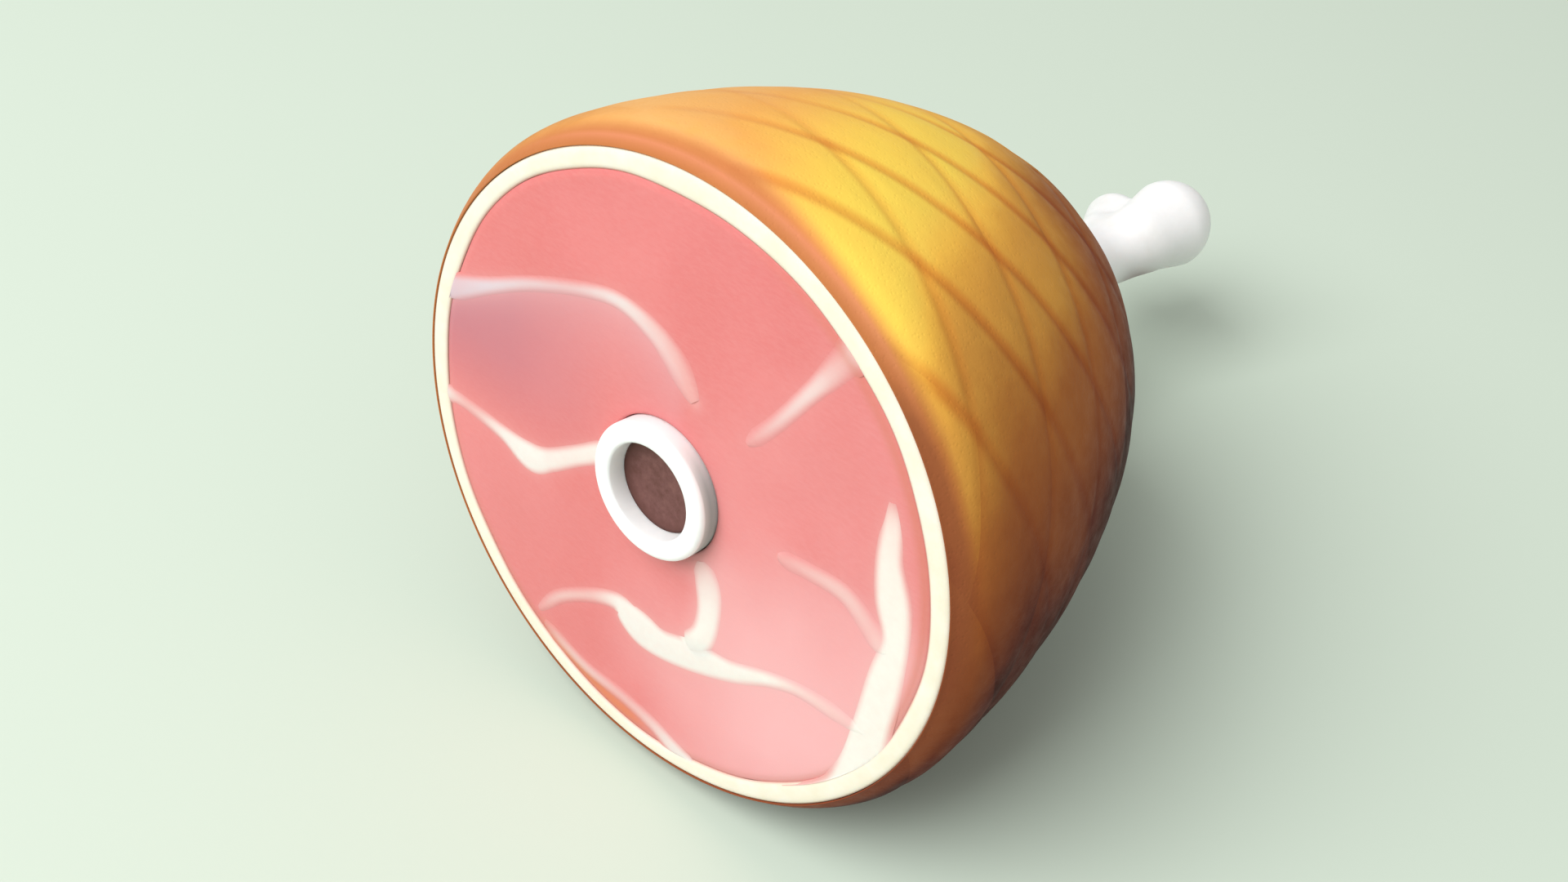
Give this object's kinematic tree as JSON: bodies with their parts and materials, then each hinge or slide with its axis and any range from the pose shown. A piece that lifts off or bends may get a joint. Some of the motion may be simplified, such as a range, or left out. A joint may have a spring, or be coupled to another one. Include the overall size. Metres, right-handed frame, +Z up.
{
  "type": "smoked ham",
  "caption": "Bone-in smoked ham, shank half, lying on its side: a flat cut face with fat rim and sawn bone, a scored rind tapering to the shank, and a bare knuckle.",
  "frame": {"origin": "centre of the bounding box, on the surface that the ham lies on", "axes": "+Z up; +Y from the cut face towards the shank and knuckle, so that the cut face looks along -Y; +X to the right of someone facing the cut face"},
  "size_m": [0.1958, 0.2814, 0.1925],
  "materials": {
    "rind": "smoked pork skin, dry to the touch with a slight fat gloss, scored in diamonds",
    "fat": "cream back fat, satin",
    "lean": "moist pink cured lean meat",
    "seam_fat": "soft white fat between the muscles",
    "bone": "clean dry bone, satin",
    "marrow": "brown cooked marrow, matt"
  },
  "bodies": {
    "root": {"rind": "rind", "fat_layer": "fat", "lean_meat": "lean", "seam_fat_top": "seam_fat", "seam_fat_left": "seam_fat", "seam_fat_upper_right": "seam_fat", "seam_fat_lower": "seam_fat", "seam_fat_small_right": "seam_fat", "seam_fat_right": "seam_fat", "seam_fat_low_left": "seam_fat", "leg_bone": "bone", "marrow": "marrow"}
  },
  "joints": []
}
